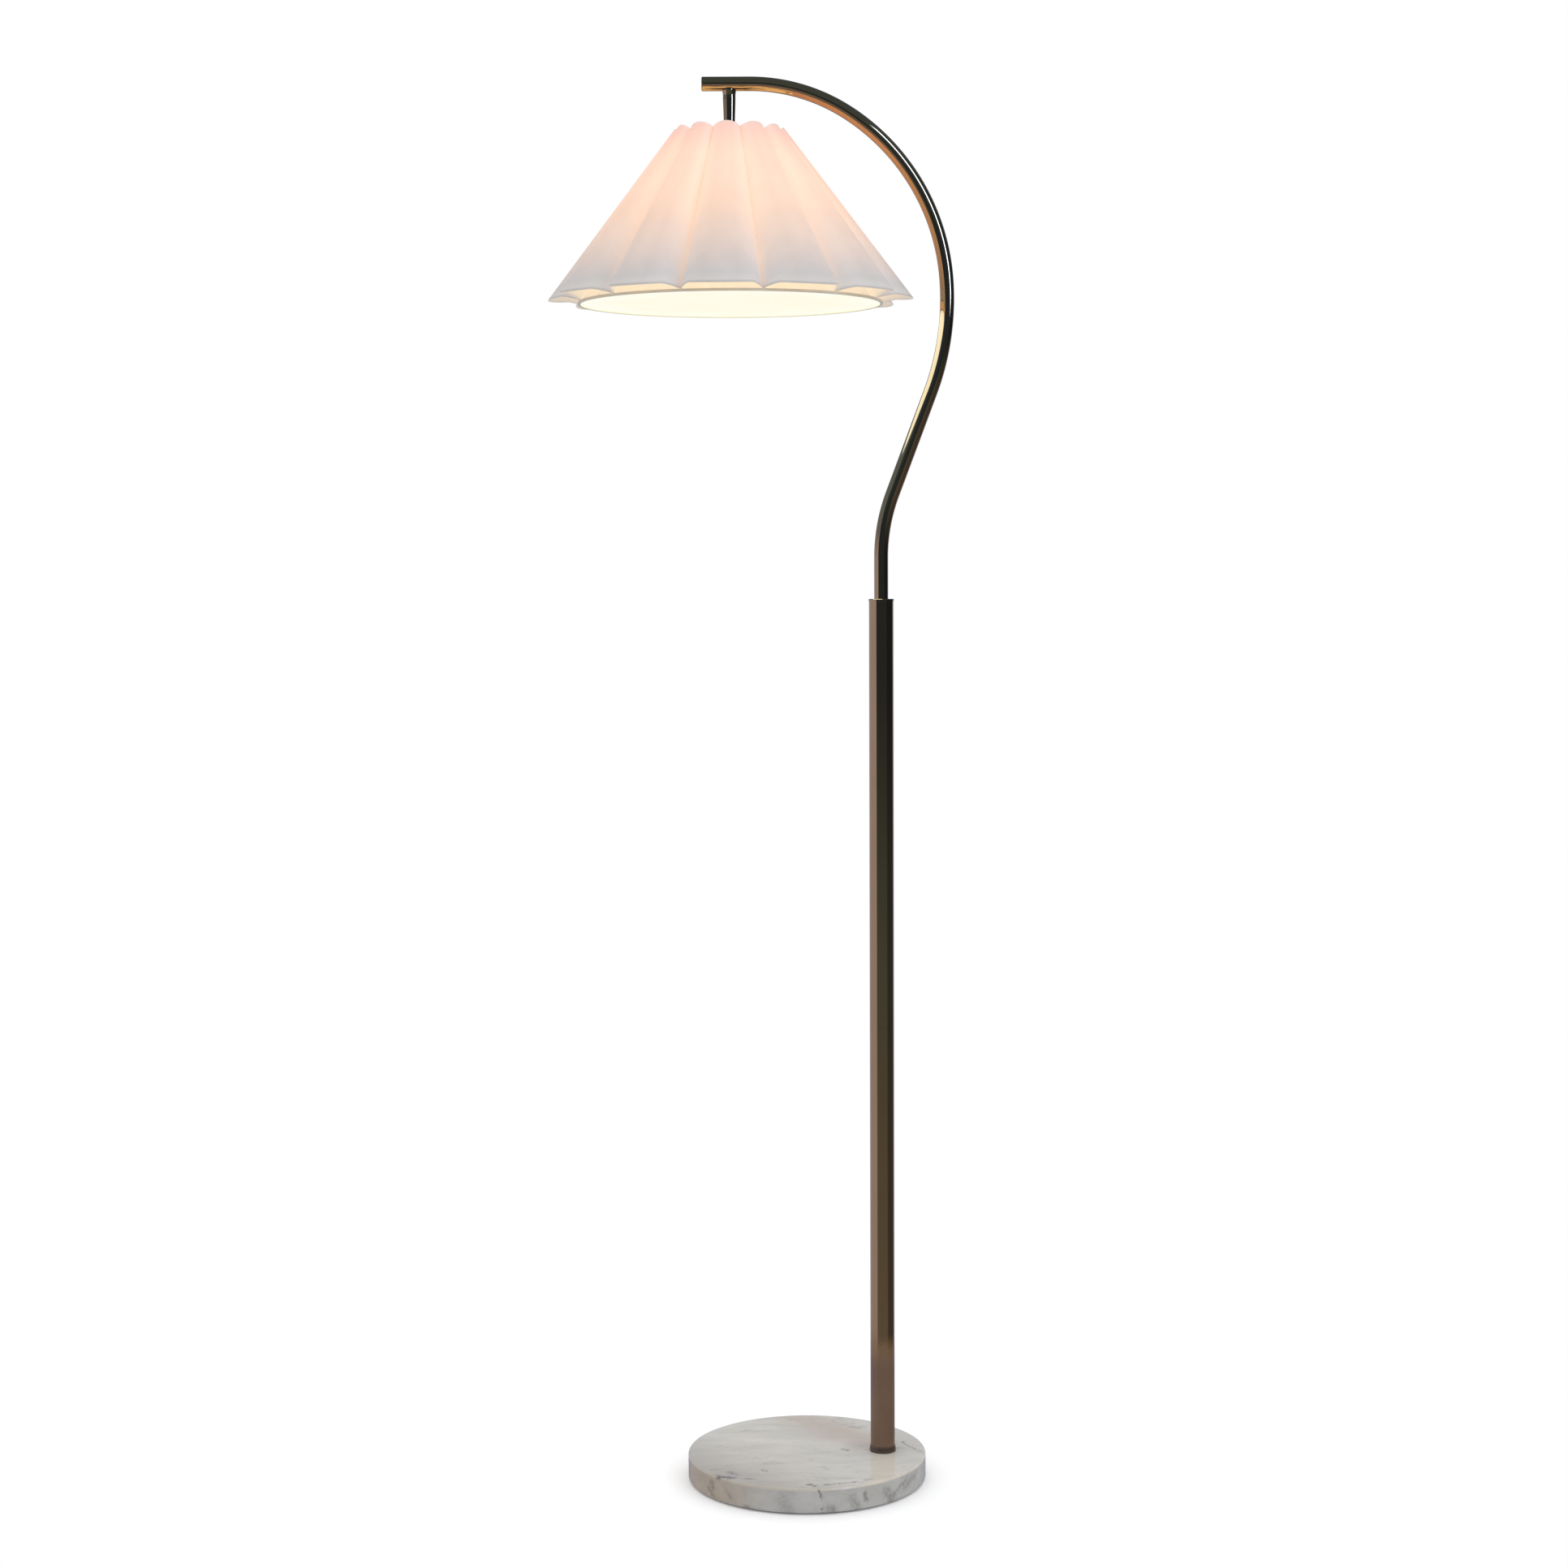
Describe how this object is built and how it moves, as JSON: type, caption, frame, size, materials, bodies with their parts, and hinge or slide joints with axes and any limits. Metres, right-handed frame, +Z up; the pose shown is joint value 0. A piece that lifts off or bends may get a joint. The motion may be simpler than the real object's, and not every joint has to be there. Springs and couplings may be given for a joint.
{
  "type": "arc floor lamp",
  "caption": "Arc floor lamp: swivelling bent-tube arm on a slim pole, marble disc base, and a pleated cone shade with a diffuser on a turning drop rod.",
  "frame": {"origin": "centre of the base's underside, on the floor", "axes": "+Z up along the pole; +X from the base's centre to the pole; the arm and shade hang toward -X"},
  "size_m": [0.4577, 0.4118, 1.6],
  "materials": {
    "marble": "honed light grey marble with faint veins and eased edges",
    "pad": "closed-cell foam",
    "rubber_black": "moulded black rubber or PVC",
    "black_nickel": "polished black-nickel plate, brown in its reflections",
    "steel": "zinc-plated steel",
    "nylon": "natural nylon",
    "pleated_fabric": "cream fabric laminated on thin film, translucent and lit from inside",
    "opal": "opal acrylic, lit",
    "white_wire": "powder-coated cream",
    "phenolic": "black phenolic",
    "ceramic_core": "unglazed steatite",
    "brass_parts": "bare brass",
    "bulb_opal": "frosted plastic, lit",
    "bulb_white": "white plastic",
    "circuit": "white-coated board with yellow chips"
  },
  "bodies": {
    "base": {"marble_base": "marble", "floor_pad": "pad", "cable_grommet": "rubber_black", "base_stud": "steel", "base_washer": "steel", "base_nut": "steel", "foot_plug": "steel", "foot_collar": "black_nickel", "lower_pole": "black_nickel", "pole_joiner": "black_nickel", "upper_pole": "black_nickel", "pole_cap": "black_nickel", "arm_upper_bush": "nylon", "arm_lower_bush": "nylon", "pole_grub_screws": "steel", "pole_cable": "rubber_black"},
    "arm": {"arm_tube": "black_nickel", "arm_end_cap": "black_nickel", "arm_stop_pin": "steel", "drop_coupling": "black_nickel", "swivel_nipple": "steel", "swivel_locknut": "brass_parts", "arm_cable": "rubber_black"},
    "shade": {"drop_rod": "black_nickel", "holder_cap": "phenolic", "holder_skirt": "phenolic", "holder_core": "ceramic_core", "holder_contacts": "brass_parts", "terminal_screws": "brass_parts", "spider": "white_wire", "clamp_rings": "phenolic", "top_ring": "white_wire", "bottom_ring": "white_wire", "pleated_shade": "pleated_fabric", "diffuser": "opal", "bulb_dome": "bulb_opal", "bulb_body": "bulb_white", "bulb_screw_cap": "steel", "bulb_insulator": "phenolic", "bulb_contact": "steel", "led_board": "circuit", "drop_cable": "rubber_black"}
  },
  "joints": [
    {"name": "arm_swivel", "type": "hinge", "parent": "base", "child": "arm", "pos_m": [0.088, 0, 0.98], "axis": [0, 0, 1], "range_deg": [-160, 160]},
    {"name": "shade_swivel", "type": "hinge", "parent": "arm", "child": "shade", "pos_m": [-0.081, 0, 1.575], "axis": [0, 0, 1], "range_deg": [-160, 160]}
  ]
}
